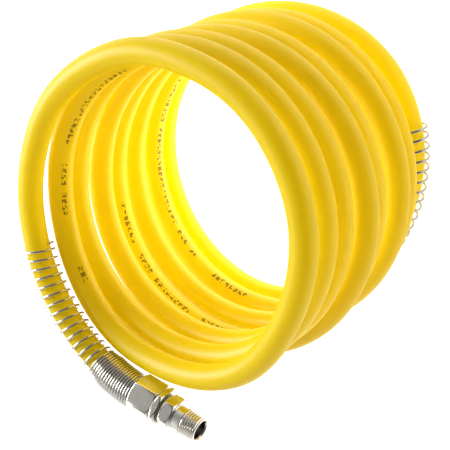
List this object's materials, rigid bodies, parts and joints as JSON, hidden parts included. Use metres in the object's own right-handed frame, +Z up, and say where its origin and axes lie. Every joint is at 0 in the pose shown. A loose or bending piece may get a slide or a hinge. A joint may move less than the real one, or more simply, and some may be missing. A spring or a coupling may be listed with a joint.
{
  "type": "recoil air hose",
  "caption": "Coiled nylon air hose that springs back when stretched, with a wire guard and a plated male pipe fitting at each end, one of them a swivel.",
  "frame": {"origin": "centre of the bounding box's underside, on the surface that the coil stands on", "axes": "+Z up along the coil's axis, from the rear end to the front end; +X the way the front fitting's outlet points"},
  "size_m": [0.175, 0.1926, 0.1365],
  "materials": {
    "hose_nylon": "glossy translucent yellow nylon",
    "spring_steel": "bright zinc-plated wire",
    "plated_nut": "bright nickel plating",
    "plated_body": "bright nickel plating",
    "swivel_steel": "bright nickel plating, slightly warm",
    "brass": "plain turned brass",
    "black_rubber": "matte",
    "white_plastic": "smooth low-friction plastic"
  },
  "bodies": {
    "coil": {"hose_coil": "hose_nylon", "hose_rear_run": "hose_nylon", "rear_spring_guard": "spring_steel", "rear_nut": "plated_nut", "rear_ferrule": "brass", "rear_tube_insert": "brass", "rear_body": "plated_body"},
    "front_end": {"hose_front_run": "hose_nylon", "front_spring_guard": "spring_steel", "front_nut": "plated_nut", "front_ferrule": "brass", "front_tube_insert": "brass", "front_body": "plated_body", "swivel_thrust_washer": "white_plastic", "swivel_retaining_ring": "spring_steel", "swivel_o_ring": "black_rubber"},
    "swivel": {"swivel_stem": "swivel_steel"}
  },
  "joints": [
    {"name": "coil_stretch", "type": "slide", "parent": "coil", "child": "front_end", "axis": [0, 0, 1], "range_m": [0, 0.5], "stiffness_N_per_m": 20, "deforming": ["hose_coil"]},
    {"name": "swivel_turn", "type": "hinge", "parent": "front_end", "child": "swivel", "pos_m": [0.0305, -0.08674, 0.1255], "axis": [1, 0, 0], "continuous": true}
  ]
}
